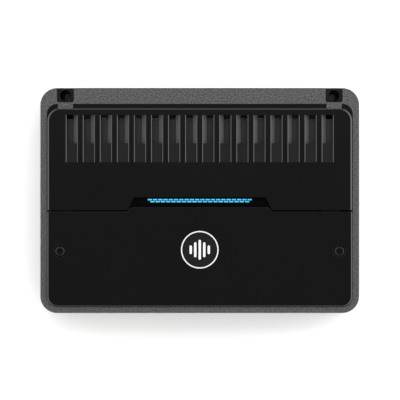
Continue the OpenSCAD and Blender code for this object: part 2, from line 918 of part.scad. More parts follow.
module potentiometers() {
    color("#3f5f8a")
        for (i = [0 : knob_count - 1])
            difference() {
                block([knob_at(i)[0] - 6, knob_y - 6, board_top],
                      [knob_at(i)[0] + 6, knob_y + 6, deck_under]);
                translate([knob_at(i)[0], knob_y, deck_under - 4])
                    cylinder(h = 5, r = shaft_r + running);
            }
}

// A rotary knob with its shaft through the deck and a slot across its top
module knob(i) {
    color("#4a4a4e")
        translate([knob_at(i)[0], knob_at(i)[1], 0])
            difference() {
                union() {
                    translate([0, 0, knob_bottom])
                        cylinder(h = knob_h, r = knob_r);
                    translate([0, 0, deck_under - 3.5])
                        cylinder(h = knob_bottom - deck_under + 3.5 + eps, r = shaft_r);
                }
                block([-0.6, -eps, knob_bottom + knob_h - 1.2],
                      [0.6, knob_r + 1, knob_bottom + knob_h + 1]);
            }
}

module level_knob() {
    knob(0);
}

module crossover_knob() {
    knob(1);
}

module bass_knob() {
    knob(2);
}

module subsonic_knob() {
    knob(3);
}

module switch_bodies() {
    color("#8d8f93")
        for (x = switch_xs)
            difference() {
                block([x - slot_long / 2 - 2, switch_y - 4, board_top],
                      [x + slot_long / 2 + 2, switch_y + 4, deck_under]);
                block([x - slot_long / 2, switch_y - lever_w / 2 - 0.2, deck_under - 3],
                      [x + slot_long / 2, switch_y + lever_w / 2 + 0.2, deck_under + 1]);
            }
}

// A switch lever at the left end of its travel
module lever(i) {
    color("#e4e4e2")
        block([switch_xs[i] - slot_long / 2 + 0.2, switch_y - lever_w / 2, deck_under - 2.8],
              [switch_xs[i] - slot_long / 2 + 0.2 + lever_len, switch_y + lever_w / 2,
               deck_top + 2]);
}

module filter_switch() {
    lever(0);
}

module phase_switch() {
    lever(1);
}

module input_switch() {
    lever(2);
}

module status_leds() {
    color("#9fe0a8")
        for (y = led_ys)
            translate([led_x, y, board_top]) {
                cylinder(h = deck_top - board_top, r = led_r);
                translate([0, 0, deck_top - board_top])
                    sphere(r = led_r);
            }
}

module ribbon_cable() {
    color("#b8babd")
        block([-60, board_y[0] + 4, pcb_top], [-40, board_y[0] + 5, board_bottom]);
}

// One row of light windows, each grown by extra on every side
module light_windows(count, y, z0, z1, extra) {
    for (i = [0 : count - 1])
        block([(i - (count - 1) / 2) * window_pitch - window_len / 2 - extra,
               y - window_w / 2 - extra, z0],
              [(i - (count - 1) / 2) * window_pitch + window_len / 2 + extra,
               y + window_w / 2 + extra, z1]);
}

module light_bezel() {
    color("#0c0c0e")
        difference() {
            block([-bezel_half, bezel_front, deck_top], [bezel_half, bezel_rear, bezel_top]);
            block([-guide_half - fit, guide_y[0] - fit, deck_top - 1],
                  [guide_half + fit, guide_y[1] + fit, window_floor]);
            light_windows(window_count, bar_y, deck_top, bezel_top + 1, 0);
            light_windows(window_count - 1, bar_y - row_pitch, deck_top, bezel_top + 1, 0);
        }
}

module light_guide() {
    color("#5fd8f0") {
        block([-guide_half, guide_y[0], deck_top + led_board_t + 1],
              [guide_half, guide_y[1], window_floor]);
        light_windows(window_count, bar_y, window_floor - eps, bezel_top - 0.3, -0.03);
        light_windows(window_count - 1, bar_y - row_pitch, window_floor - eps,
            bezel_top - 0.3, -0.03);
    }
}

module led_board() {
    color("#e8e8e4") {
        block([-guide_half, guide_y[0], deck_top], [guide_half, guide_y[1], deck_top + led_board_t]);
        for (i = [-6 : 6])
            block([i * 2 * window_pitch - 1.4, bar_y - row_pitch / 2 - 0.7,
                   deck_top + led_board_t - eps],
                  [i * 2 * window_pitch + 1.4, bar_y - row_pitch / 2 + 0.7,
                   deck_top + led_board_t + 0.8]);
    }
}

// Outlines of what passes through the connector panel, in X and Z
function speaker_span() = [speaker_xs[0] - speaker_block[0] / 2 - terminal_wall,
    speaker_xs[3] + speaker_block[0] / 2 + terminal_wall];
function power_span() = [power_xs[0] - power_block[0] / 2 - terminal_wall,
    power_xs[1] + power_block[0] / 2 + terminal_wall];
housing_top = block_z + power_block[1] + terminal_wall;
function jack_x(i) = jack_x0 + i * jack_pitch;

module connector_panel() {
    color("#1d1d20")
        difference() {
            block([-panel_half, panel_front, floor_top], [panel_half, panel_rear, deck_under]);
            for (i = [0 : jack_count - 1])
                translate([jack_x(i), panel_rear + 1, jack_z])
                    rotate([90, 0, 0])
                        cylinder(h = panel_t + 2, r = jack_r - 0.5);
            for (span = [speaker_span(), power_span(), [port_x - 6.5, port_x + 6.5]])
                block([span[0] - fit, panel_front - 1, pcb_top - fit],
                      [span[1] + fit, panel_rear + 1, housing_top + fit]);
        }
}

module jack_bodies() {
    color("#f2f2ee")
        for (i = [0 : jack_count - 1])
            block([jack_x(i) - 5.5, panel_rear, pcb_top],
                  [jack_x(i) + 5.5, panel_rear + 13, jack_z + 7]);
}

// A tube along Y round a jack's axis
module jack_tube(i, front, rear, outer, inner) {
    translate([jack_x(i), rear, jack_z])
        rotate([90, 0, 0])
            difference() {
                cylinder(h = rear - front, r = outer);
                translate([0, 0, -1])
                    cylinder(h = rear - front + 2, r = inner);
            }
}

module jack_shells() {
    color("#c9a648")
        for (i = [0 : jack_count - 1]) {
            jack_tube(i, jack_front, panel_front, jack_r, jack_r - 0.55);
            jack_tube(i, panel_front - 0.8, panel_front, jack_r + 1.4, jack_r - 0.55);
        }
}

module jack_insulators() {
    color("#f4f4f0")
        for (i = [0 : jack_count - 1])
            jack_tube(i, jack_front + 1.5, panel_rear, jack_r - 0.6, 2.15);
}

module jack_contacts() {
    color("#c9a648")
        for (i = [0 : jack_count - 1])
            jack_tube(i, jack_front + 1.5, panel_rear, 2.1, 1.62);
}

module remote_port() {
    color("#202023")
        difference() {
            block([port_x - 6.5, terminal_front + 1, pcb_top],
                  [port_x + 6.5, panel_rear + 12, housing_top]);
            block([port_x - 4.8, terminal_front - 1, pcb_top + 4],
                  [port_x + 4.8, panel_rear + 6, housing_top - 6]);
        }
}

// A terminal housing: pockets for its blocks, wire entries and screwdriver holes
module terminal_housing(span, xs, block_size, entry_r, driver_r) {
    difference() {
        block([span[0], terminal_front, pcb_top], [span[1], block_rear_y + 1, housing_top]);
        for (i = [0 : len(xs) - 1]) {
            block([xs[i] - block_size[i][0] / 2, block_front_y, block_z],
                  [xs[i] + block_size[i][0] / 2, block_rear_y + 2, block_z + block_size[i][1]]);
            translate([xs[i], block_front_y + 1, terminal_z])
                rotate([90, 0, 0])
                    cylinder(h = 4, r = entry_r[i]);
            translate([xs[i], clamp_screw_y, terminal_z])
                cylinder(h = body_h, r = driver_r[i]);
        }
    }
}

// A metal terminal block with its wire bore and its clamp screw's hole
module terminal_block(x, size, bore_r, screw_r) {
    difference() {
        block([x - size[0] / 2, block_front_y, block_z],
              [x + size[0] / 2, block_rear_y, block_z + size[1]]);
        translate([x, block_front_y + wire_bore_len, terminal_z])
            rotate([90, 0, 0])
                cylinder(h = wire_bore_len + 1, r = bore_r);
        translate([x, clamp_screw_y, terminal_z])
            cylinder(h = size[1], r = screw_r + thread_gap);
    }
}

// A grub screw standing just clear of the wire bore
module clamp_screw(x, bore_r, screw_r, top) {
    difference() {
        translate([x, clamp_screw_y, terminal_z + bore_r + 0.2])
            cylinder(h = top - terminal_z - bore_r - 0.2, r = screw_r);
        translate([x, clamp_screw_y, top - 2.5])
            cylinder(h = 3, r = screw_r * 0.55, $fn = 6);
    }
}

module speaker_housing() {
    color("#1d1d20")
        terminal_housing(speaker_span(), speaker_xs, [for (x = speaker_xs) speaker_block],
            [for (x = speaker_xs) speaker_bore_r + 0.4], [for (x = speaker_xs) 2.5]);
}

module speaker_terminals() {
    color("#c3c5c8")
        for (x = speaker_xs)
            terminal_block(x, speaker_block, speaker_bore_r, 2);
}

module speaker_clamp_screws() {
    color("#9a9ca0")
        for (x = speaker_xs)
            clamp_screw(x, speaker_bore_r, 2, block_z + speaker_block[1] - 1);
}

power_all = concat(power_xs, [trigger_x]);
power_blocks = [power_block, power_block, trigger_block];
power_bores = [power_bore_r, power_bore_r, trigger_bore_r];
power_grubs = [3, 3, 2];

module power_housing() {
    color("#1d1d20")
        terminal_housing(power_span(), power_all, power_blocks,
            [for (r = power_bores) r + 0.4], [for (r = power_grubs) r + 0.4]);
}

module power_terminals() {
    color("#c3c5c8")
        for (i = [0 : 2])
            terminal_block(power_all[i], power_blocks[i], power_bores[i], power_grubs[i]);
}

module power_clamp_screws() {
    color("#9a9ca0")
        for (i = [0 : 2])
            clamp_screw(power_all[i], power_bores[i], power_grubs[i],
                block_z + power_blocks[i][1] - 0.5);
}

// The front cover's tab, which reaches into the recess
module tab_outline() {
    polygon(concat(s_curve([tab_base, cover_rear - 1], [tab_half, tab_y]),
        s_curve([-tab_half, tab_y], [-tab_base, cover_rear - 1])));
}

module front_cover() {
    color("#1f1f22")
        difference() {
            union() {
                translate([0, 0, cover_under])
                    linear_extrude(cover_t - cover_chamfer)
                        plate_outline([-lid_half, cover_front], [lid_half, cover_rear], 0,
                            cover_corner_r);
                chamfer_layer(lid_half, cover_rear, cover_front, cover_corner_r,
                    cover_chamfer, -1);
                translate([0, 0, cover_under])
                    linear_extrude(cover_t)
                        tab_outline();
                for (at = mirrored(screw_x, [screw_y]))
                    translate([at[0], at[1], boss_bottom])
                        cylinder(h = cover_boss_h + eps, r = cover_boss_r);
            }
            for (at = mirrored(screw_x, [screw_y])) {
                translate([at[0], at[1], boss_bottom - 1])
                    cylinder(h = body_h, r = m4[0] + 0.25);
                translate([at[0], at[1], counterbore_z])
                    cylinder(h = body_h, r = counterbore_r);
            }
            translate([0, badge_mid, badge_floor])
                cylinder(h = body_h, r = badge_r);
        }
}

module cover_screws() {
    color("#2b2b2e")
        for (at = mirrored(screw_x, [screw_y]))
            cap_screw(at, counterbore_z, m4, 12);
}

module badge_disc() {
    color("#26262a")
        translate([0, badge_mid, badge_floor])
            cylinder(h = badge_recess - 0.7, r = badge_r - badge_rim);
}

// Bars of a sound-level meter, tallest in the middle
function bar_height(i) = [7, 12, 16, 12, 7][i];

module badge_trim() {
    color("#d6d7d9")
        translate([0, badge_mid, 0]) {
            difference() {
                translate([0, 0, badge_floor])
                    cylinder(h = badge_recess, r = badge_r);
                translate([0, 0, badge_floor - 1])
                    cylinder(h = badge_recess + 2, r = badge_r - badge_rim);
            }
            for (i = [0 : 4])
                translate([(i - 2) * 3.6, 0, body_h - 0.7]) {
                    for (end = [-1, 1])
                        translate([0, end * (bar_height(i) / 2 - 1), 0])
                            cylinder(h = 0.5, r = 1);
                    block([-1, 1 - bar_height(i) / 2, 0], [1, bar_height(i) / 2 - 1, 0.5]);
                }
        }
}

base_plate();
base_screws();
chassis();
rear_fins();
frame_posts();
well_tubes();
notch_sleeves();
top_lid();
lid_screws();
heat_sink();
heat_sink_screws();
power_transistors();
thermal_pads();
transistor_clamps();
clamp_bar_screws();
main_pcb();
pcb_standoffs();
pcb_screws();
toroid_core();
toroid_winding();
output_inductors();
rail_capacitors();
filter_capacitors();
control_deck();
deck_screws();
control_pcb();
potentiometers();
level_knob();
crossover_knob();
bass_knob();
subsonic_knob();
switch_bodies();
filter_switch();
phase_switch();
input_switch();
status_leds();
ribbon_cable();
light_bezel();
light_guide();
led_board();
connector_panel();
jack_bodies();
jack_shells();
jack_insulators();
jack_contacts();
remote_port();
speaker_housing();
speaker_terminals();
speaker_clamp_screws();
power_housing();
power_terminals();
power_clamp_screws();
front_cover();
cover_screws();
badge_disc();
badge_trim();
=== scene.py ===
import json
import math

import bmesh
import bpy
from mathutils import Matrix, Vector


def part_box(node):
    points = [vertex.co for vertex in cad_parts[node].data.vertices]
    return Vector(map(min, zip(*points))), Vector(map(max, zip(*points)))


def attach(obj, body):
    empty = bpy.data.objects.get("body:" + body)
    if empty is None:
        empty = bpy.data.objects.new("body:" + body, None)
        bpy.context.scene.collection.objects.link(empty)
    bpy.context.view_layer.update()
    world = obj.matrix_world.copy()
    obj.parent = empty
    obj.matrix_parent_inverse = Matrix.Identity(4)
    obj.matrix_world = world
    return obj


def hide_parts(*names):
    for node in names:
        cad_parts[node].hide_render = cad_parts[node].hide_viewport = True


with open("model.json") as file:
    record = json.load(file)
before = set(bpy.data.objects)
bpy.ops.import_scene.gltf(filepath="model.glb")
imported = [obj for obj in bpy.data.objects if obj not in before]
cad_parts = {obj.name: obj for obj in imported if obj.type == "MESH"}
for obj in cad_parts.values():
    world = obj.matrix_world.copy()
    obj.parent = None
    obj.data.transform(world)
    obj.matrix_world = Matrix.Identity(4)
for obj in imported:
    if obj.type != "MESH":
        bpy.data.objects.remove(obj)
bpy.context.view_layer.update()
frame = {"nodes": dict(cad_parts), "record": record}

MM = 0.001
NODES = frame["nodes"]
BODY_OF = {n: b for b, ns in frame["record"]["behaviour"]["bodies"].items() for n in ns}
SLOT_OF = {s["node"]: s["material_slot"] for s in frame["record"]["subparts"]}


# ---------------------------------------------------------------- materials

ROUGHNESS_SPREAD = 0.06           # how far a surface's roughness strays over its patches
BROAD_PATCHES = 14                # patches of uneven roughness per metre
COAT_IOR = 1.5


def node_material(name):
    """An empty node material with its tree, output and principled shader."""
    mat = bpy.data.materials.new(name)
    mat.use_nodes = True
    tree = mat.node_tree
    shader = tree.nodes["Principled BSDF"]
    return mat, tree, shader


def object_noise(tree, scale, detail=3.0, rough=0.55, stretch=(1, 1, 1)):
    """Noise over the object's own coordinates; scale is in features per metre."""
    coords = tree.nodes.new("ShaderNodeTexCoord")
    mapping = tree.nodes.new("ShaderNodeMapping")
    mapping.inputs["Scale"].default_value = stretch
    noise = tree.nodes.new("ShaderNodeTexNoise")
    noise.inputs["Scale"].default_value = scale
    noise.inputs["Detail"].default_value = detail
    noise.inputs["Roughness"].default_value = rough
    tree.links.new(coords.outputs["Object"], mapping.inputs["Vector"])
    tree.links.new(mapping.outputs["Vector"], noise.inputs["Vector"])
    return noise.outputs["Fac"]


def spread(tree, value, low, high, floor=0.3, ceiling=0.7):
    """A noise value mapped from its usual span to low..high."""
    node = tree.nodes.new("ShaderNodeMapRange")
    node.inputs["From Min"].default_value = floor
    node.inputs["From Max"].default_value = ceiling
    node.inputs["To Min"].default_value = low
    node.inputs["To Max"].default_value = high
    tree.links.new(value, node.inputs["Value"])
    return node.outputs["Result"]


def tinted(tree, value, dark, light):
    """A colour between dark and light, chosen by value."""
    mix = tree.nodes.new("ShaderNodeMix")
    mix.data_type = "RGBA"
    mix.inputs["A"].default_value = (*dark, 1)
    mix.inputs["B"].default_value = (*light, 1)
    tree.links.new(value, mix.inputs["Factor"])
    return mix.outputs["Result"]


def grained(name, colour, roughness, metallic=0.0, grain=900, contrast=0.12, bump=0.02,
            stretch=(1, 1, 1), coat=0.0, specular=0.5):
    """A surface with fine colour, roughness and height grain. bump is its height in mm."""
    mat, tree, shader = node_material(name)
    fine = object_noise(tree, grain, stretch=stretch)
    broad = object_noise(tree, BROAD_PATCHES, detail=2.0)
    tone = spread(tree, fine, 0.0, 1.0)
    dark = [c * (1 - contrast) for c in colour]
    light = [min(1.0, c * (1 + contrast)) for c in colour]
    tree.links.new(tinted(tree, tone, dark, light), shader.inputs["Base Color"])
    tree.links.new(spread(tree, broad, roughness - ROUGHNESS_SPREAD,
                          roughness + ROUGHNESS_SPREAD), shader.inputs["Roughness"])
    shader.inputs["Metallic"].default_value = metallic
    shader.inputs["Coat Weight"].default_value = coat
    shader.inputs["Specular IOR Level"].default_value = specular
    shader.inputs["IOR"].default_value = COAT_IOR
    height = tree.nodes.new("ShaderNodeBump")
    height.inputs["Strength"].default_value = 1.0
    height.inputs["Distance"].default_value = bump * MM
    tree.links.new(fine, height.inputs["Height"])
    tree.links.new(height.outputs["Normal"], shader.inputs["Normal"])
    return mat


def product(tree, first, second):
    """The product of two values."""
    node = tree.nodes.new("ShaderNodeMath")
    node.operation = "MULTIPLY"
    tree.links.new(first, node.inputs[0])
    tree.links.new(second, node.inputs[1])
    return node.outputs["Value"]


def painted_lean_highlight(mat, highlight_colour, ramp=0.0):
    """Paints a highlight into a coat's colour where its surface leans, standing in for light
    caught by chamfers, ramps and flanks, and most where it faces sideways toward the side lamps.
    ramp is the share of painted highlight on surfaces that lean only a few degrees."""
    tree = mat.node_tree
    shader = tree.nodes["Principled BSDF"]
    flat = shader.inputs["Base Color"].links[0].from_socket
    geometry = tree.nodes.new("ShaderNodeNewGeometry")
    parts = tree.nodes.new("ShaderNodeSeparateXYZ")
    tree.links.new(geometry.outputs["True Normal"], parts.inputs["Vector"])
    sideways = tree.nodes.new("ShaderNodeMath")
    sideways.operation = "ABSOLUTE"
    tree.links.new(parts.outputs["X"], sideways.inputs[0])
    share = spread(tree, sideways.outputs["Value"], 0.35, 1.0, floor=0.1, ceiling=0.6)
    steep = spread(tree, parts.outputs["Z"], 1.0, 0.0, floor=0.8, ceiling=0.93)
    lean = product(tree, share, steep)
    slight = spread(tree, parts.outputs["Z"], ramp, 0.0, floor=0.995, ceiling=0.9995)
    most = tree.nodes.new("ShaderNodeMath")
    most.operation = "MAXIMUM"
    tree.links.new(lean, most.inputs[0])
    tree.links.new(slight, most.inputs[1])
    rise = spread(tree, parts.outputs["Z"], 0.0, 1.0, floor=0.2, ceiling=0.5)
    highlight_mask = product(tree, most.outputs["Value"], rise)
    # mixes the painted highlight colour into the coat's own colour where it leans
    mix = tree.nodes.new("ShaderNodeMix")
    mix.data_type = "RGBA"
    tree.links.new(highlight_mask, mix.inputs["Factor"])
    tree.links.new(flat, mix.inputs["A"])
    mix.inputs["B"].default_value = (*highlight_colour, 1)
    tree.links.new(mix.outputs["Result"], shader.inputs["Base Color"])
    return mat


def glowing(name, colour, strength, base=(0.2, 0.6, 0.75)):
    """A lit translucent moulding, a little uneven along its length."""
    mat, tree, shader = node_material(name)
    uneven = object_noise(tree, 160, detail=1.0)
    deep = [c * 0.75 for c in colour]
    tree.links.new(tinted(tree, spread(tree, uneven, 0, 1), deep, colour),
                   shader.inputs["Emission Color"])
    shader.inputs["Emission Strength"].default_value = strength
    shader.inputs["Base Color"].default_value = (*base, 1)
    shader.inputs["Roughness"].default_value = 0.35
    return mat


MATERIALS = {
    "powder_coat": grained("powder_coat", (0.051, 0.0512, 0.0518), 0.5, grain=800,
                           contrast=0.7, bump=0.18, specular=0.2),
    "bare_aluminium": grained("bare_aluminium", (0.5, 0.51, 0.52), 0.36, metallic=1.0,
                              grain=1300, stretch=(1, 1, 8), bump=0.006),
    # black_coat: leaning chamfers and slot ramps get a painted highlight in their colour
    "black_coat": painted_lean_highlight(grained("black_coat", (0.0016, 0.0016, 0.0017), 0.3, grain=2600,
                                contrast=0.15, bump=0.004, specular=0.06),
                        (0.085, 0.085, 0.086), ramp=0.1),
    "black_steel": grained("black_steel", (0.011, 0.011, 0.012), 0.5, grain=1800, bump=0.02),
    # black_anodised: the heat sink's leaning fin flanks get a painted highlight in their colour
    "black_anodised": painted_lean_highlight(grained("black_anodised", (0.009, 0.009, 0.0095), 0.42,
                                    metallic=0.1, grain=700, stretch=(3, 0.15, 3),
                                    bump=0.01, specular=0.2), (0.1, 0.1, 0.102)),
    # black_screw: the dome's leaning rim gets a painted highlight ring in its colour
    "black_screw": painted_lean_highlight(grained("black_screw", (0.0012, 0.0012, 0.0013), 0.25, grain=2200,
                                 bump=0.004, specular=0.05), (0.07, 0.07, 0.072)),
    "steel": grained("steel", (0.55, 0.55, 0.56), 0.32, metallic=1.0, grain=1500, bump=0.005,
                     contrast=0.06),
    "circuit_board": grained("circuit_board", (0.012, 0.085, 0.035), 0.3, grain=420,
                             contrast=0.35, bump=0.02, coat=0.3),
    "semiconductor": grained("semiconductor", (0.014, 0.014, 0.015), 0.55, grain=2400),
    "thermal_pad": grained("thermal_pad", (0.42, 0.44, 0.47), 0.7, grain=1500),
    "ferrite": grained("ferrite", (0.03, 0.032, 0.033), 0.6, grain=2000, bump=0.03),
    "copper": grained("copper", (0.62, 0.25, 0.09), 0.3, metallic=0.9, grain=1200, coat=0.4),
    "capacitor_sleeve": grained("capacitor_sleeve", (0.016, 0.026, 0.055), 0.28, grain=800,
                                coat=0.3, bump=0.004),
    "deck_plastic": grained("deck_plastic", (0.006, 0.006, 0.0065), 0.52, grain=1700,
                            contrast=0.2, bump=0.03, specular=0.15),
    "knob_plastic": grained("knob_plastic", (0.07, 0.07, 0.074), 0.42, grain=1500, bump=0.01),
    "lever_plastic": grained("lever_plastic", (0.62, 0.62, 0.6), 0.4, grain=1200, bump=0.006),
    "blue_plastic": grained("blue_plastic", (0.03, 0.08, 0.22), 0.4, grain=1200),
    "led_lens": glowing("led_lens", (0.25, 0.9, 0.4), 0.35, base=(0.3, 0.7, 0.4)),
    "ribbon": grained("ribbon", (0.42, 0.42, 0.43), 0.5, grain=900, stretch=(6, 1, 0.3)),
    "bezel_plastic": grained("bezel_plastic", (0.0008, 0.0008, 0.0009), 0.5, grain=1500,
                             bump=0.004, specular=0.02),
    "light_guide": glowing("light_guide", (0.03, 0.46, 0.8), 1.3, base=(0.02, 0.08, 0.1)),
    "led_board": grained("led_board", (0.7, 0.7, 0.68), 0.35, grain=500),
    "terminal_plastic": grained("terminal_plastic", (0.0045, 0.0045, 0.005), 0.5, grain=1500,
                                bump=0.02, specular=0.08),
    "gold": grained("gold", (0.80, 0.56, 0.20), 0.22, metallic=1.0, grain=1500, bump=0.003,
                    contrast=0.05),
    "white_plastic": grained("white_plastic", (0.75, 0.75, 0.72), 0.35, grain=1200,
                             bump=0.004, contrast=0.04),
    "nickel": grained("nickel", (0.62, 0.60, 0.57), 0.26, metallic=1.0, grain=1500,
                      bump=0.004, contrast=0.05),
    "badge_black": grained("badge_black", (0.003, 0.003, 0.0032), 0.34, grain=1500,
                           bump=0.004, specular=0.12),
    "badge_silver": grained("badge_silver", (0.62, 0.625, 0.635), 0.4, metallic=0.25,
                            grain=1800, bump=0.003, contrast=0.04),
}


# ------------------------------------------------------- finish on CAD nodes

def modifier(obj, name, kind, **settings):
    mod = obj.modifiers.new(name, kind)
    for key, value in settings.items():
        setattr(mod, key, value)
    return mod


def soften(node, width, segments=2, angle=32):
    """Rounds a CAD node's hard edges by width mm, on clean flat faces."""
    obj = NODES[node]
    modifier(obj, "join", "WELD", merge_threshold=0.002 * MM)
    modifier(obj, "flatten", "DECIMATE", decimate_type="DISSOLVE",
             angle_limit=math.radians(0.4))
    modifier(obj, "edges", "BEVEL", width=width * MM, segments=segments,
             limit_method="ANGLE", angle_limit=math.radians(angle),
             use_clamp_overlap=True, harden_normals=False)
    modifier(obj, "shading", "WEIGHTED_NORMAL", keep_sharp=True, weight=80)


def paint(node):
    obj = NODES[node]
    mat = MATERIALS[SLOT_OF[node]]
    for i in range(max(1, len(obj.material_slots))):
        if i < len(obj.material_slots):
            obj.material_slots[i].material = mat
        else:
            obj.data.materials.append(mat)


for part in NODES:
    paint(part)


# ------------------------------------------------------------ mesh building

def solids(node):
    """The (low, high) corners of each separate solid in a CAD node, ordered by X then Y."""
    mesh = NODES[node].data
    first = {}
    owner = list(range(len(mesh.vertices)))

    def root(i):
        while owner[i] != i:
            owner[i] = owner[owner[i]]
            i = owner[i]
        return i

    for v in mesh.vertices:
        key = tuple(round(c, 6) for c in v.co)
        owner[root(v.index)] = root(first.setdefault(key, v.index))
    for face in mesh.polygons:
        for other in face.vertices[1:]:
            owner[root(other)] = root(face.vertices[0])
    groups = {}
    for v in mesh.vertices:
        groups.setdefault(root(v.index), []).append(v.co)
    boxes = [(Vector(map(min, zip(*pts))), Vector(map(max, zip(*pts))))
             for pts in groups.values()]
    return sorted(boxes, key=lambda b: (round(b[0].x, 4), round(b[0].y, 4)))


def middle(box):
    return (box[0] + box[1]) / 2


def new_piece(name, bm, stands_for, smooth_angle=35):
    """A finished piece from bm that stands for a CAD node, on its body and in its slot."""
    bmesh.ops.recalc_face_normals(bm, faces=bm.faces)
    mesh = bpy.data.meshes.new(name)
    bm.to_mesh(mesh)
    bm.free()
    mesh.shade_smooth()
    mesh.set_sharp_from_angle(angle=math.radians(smooth_angle))
    obj = bpy.data.objects.new(name, mesh)
    bpy.context.scene.collection.objects.link(obj)
    mesh.materials.append(MATERIALS[SLOT_OF[stands_for]])
    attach(obj, BODY_OF[stands_for])
    return obj


def replacement(name, bm, node, smooth_angle=35):
    """A finished piece that takes the place of a CAD node."""
    obj = new_piece(name, bm, node, smooth_angle)
    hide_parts(node)


def recoat(piece, slot):
    """Puts a piece in another material slot than its CAD node's."""
    piece.data.materials.clear()
    piece.data.materials.append(MATERIALS[slot])


def lathe(bm, profile, place, steps=48, ripples=0):
    """Turns a profile of (radius, height) points in mm about place's Z axis. A third value
    in a point is its number of flats, or its ripple depth where ripples are asked for."""
    rings = []
    for point in profile:
        radius, height = point[0] * MM, point[1] * MM
        extra = point[2] if len(point) > 2 else 0
        if radius == 0:
            rings.append([bm.verts.new(place @ Vector((0, 0, height)))])
            continue
        ring = []
        for i in range(steps):
            turn = 2 * math.pi * i / steps
            reach = radius
            if ripples and extra:
                reach -= extra * MM * (0.5 + 0.5 * math.cos(ripples * turn))
            elif extra:
                flat = 2 * math.pi / extra
                reach = radius / math.cos((turn % flat) - flat / 2)
            ring.append(bm.verts.new(place @ Vector(
                (reach * math.cos(turn), reach * math.sin(turn), height))))
        rings.append(ring)
    for low, high in zip(rings, rings[1:]):
        for i in range(steps):
            j = (i + 1) % steps
            if len(low) == 1:
                bm.faces.new((low[0], high[i], high[j]))
            elif len(high) == 1:
                bm.faces.new((low[i], low[j], high[0]))
            else:
                bm.faces.new((low[i], low[j], high[j], high[i]))


def dome(radius, start, rise, turns=6):
    """Points of a dome's quarter ellipse, from its rim at start to its top."""
    return [(radius * math.cos(math.pi / 2 * i / turns),
             start + rise * math.sin(math.pi / 2 * i / turns)) for i in range(turns + 1)]


def tube_loop(bm, path, radius, sides=8):
    """A closed tube of the given radius along a closed path of points."""
    count = len(path)
    rings = []
    for i, point in enumerate(path):
        along = (path[(i + 1) % count] - path[i - 1]).normalized()
        out = along.orthogonal().normalized() if abs(along.z) > 0.999 else Vector((0, 0, 1))
        side = along.cross(out).normalized()
        up = side.cross(along)
        rings.append([bm.verts.new(point + radius * (side * math.cos(a) + up * math.sin(a)))
                      for a in (2 * math.pi * k / sides for k in range(sides))])
    for i in range(count):
        a, b = rings[i], rings[(i + 1) % count]
        shift = min(range(sides), key=lambda s: (b[s].co - a[0].co).length)
        for k in range(sides):
            m = (k + 1) % sides
            bm.faces.new((a[k], a[m], b[(m + shift) % sides], b[(k + shift) % sides]))


def rounded_box(bm, low, high, radius, segments=2):
    """A box with rounded edges."""
    size = high - low
    made = bmesh.ops.create_cube(bm, size=1, matrix=Matrix.Translation((low + high) / 2)
                                 @ Matrix.Diagonal((*size, 1)))
    edges = list({e for v in made["verts"] for e in v.link_edges})
    bmesh.ops.bevel(bm, geom=edges, offset=radius, segments=segments, affect="EDGES",
                    profile=0.5, clamp_overlap=True)


# ------------------------------------------------------------- small pieces

def button_screws(node, shank, head, dome_rise, socket):
    """Hex socket screws with domed heads, in mm, on a CAD node's screws."""
    bm = bmesh.new()
    for low, high in solids(node):
        seat = (high.z - low.z) / MM - dome_rise[1]
        place = Matrix.Translation(((low.x + high.x) / 2, (low.y + high.y) / 2, low.z))
        rim, top = dome_rise
        curve = [(r, z) for r, z in dome(head, seat + rim, top - rim, 8) if r > socket * 1.25]
        profile = [(0, 0), (shank * 0.8, 0), (shank, 0.5), (shank, seat), (head * 0.96, seat),
                   (head, seat + 0.15)] + curve
        lip = curve[-1][1]
        profile += [(socket * 1.2, lip + 0.05), (socket, lip, 6), (socket, lip - 1.2, 6),
                    (0, lip - 1.6)]
        lathe(bm, profile, place)
    replacement(node + "_turned", bm, node)


def knurled_knob(node):
    """A control knob: a finely ribbed grip, a dished top and a pointer inlay."""
    low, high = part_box(node)
    low, high = Vector(low), Vector(high)
    centre = middle((low, high))
    height = (high.z - low.z) / MM
    radius = (high.x - low.x) / 2 / MM
    skirt = height - 3.6
    bm = bmesh.new()
    lathe(bm, [(0, 0), (2.7, 0), (3, 0.3), (3, skirt), (radius - 0.4, skirt),
               (radius, skirt + 0.3), (radius, skirt + 0.7), (radius - 0.1, skirt + 0.9, 0.25),
               (radius - 0.1, skirt + 3, 0.25), (radius - 0.5, skirt + 3.45, 0.1),
               (radius - 0.9, skirt + 3.6), (radius - 1.4, skirt + 3.45), (0, skirt + 3.3)],
          Matrix.Translation((centre.x, centre.y, low.z)), steps=120, ripples=30)
    replacement(node + "_grip", bm, node, 40)
    bm = bmesh.new()
    rounded_box(bm, Vector((centre.x - 0.35 * MM, centre.y + 0.8 * MM, high.z - 0.4 * MM)),
                Vector((centre.x + 0.35 * MM, centre.y + (radius - 1) * MM, high.z - 0.05 * MM)),
                0.12 * MM)
    recoat(new_piece(node + "_pointer", bm, node), "lever_plastic")


WINDING_HOLE_R = 8.5              # the open middle of the winding, in mm
WINDING_TURNS = 44
WINDING_CORNER_R = 2.5


def wound_toroid():
    """Copper turns round the core, each a closed tube with rounded corners."""
    low, high = (Vector(c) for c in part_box("toroid_winding"))
    core_low, core_high = (Vector(c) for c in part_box("toroid_core"))
    centre = middle((low, high))
    outer = (high.x - low.x) / 2
    wall = outer - (core_high.x - core_low.x) / 2
    wire = wall * 0.42
    slim = min(wire, 0.76 * MM)
    inner = WINDING_HOLE_R * MM
    corner = WINDING_CORNER_R * MM
    bm = bmesh.new()
    for i in range(WINDING_TURNS):
        turn = 2 * math.pi * i / WINDING_TURNS
        ray = Vector((math.cos(turn), math.sin(turn), 0))
        a, b = inner + wire, outer - wire
        c, d = low.z + wire, high.z - wire
        path = []
        for cx, cz, start in ((b - corner, d - corner, 0), (a + corner, d - corner, 90),
                              (a + corner, c + corner, 180), (b - corner, c + corner, 270)):
            for k in range(5):
                bend = math.radians(start + 22.5 * k)
                path.append(Vector((centre.x, centre.y, cz + corner * math.sin(bend)))
                            + ray * (cx + corner * math.cos(bend)))
        tube_loop(bm, path, slim if i % 2 else wire * 0.8)
    replacement("toroid_turns", bm, "toroid_winding", 60)


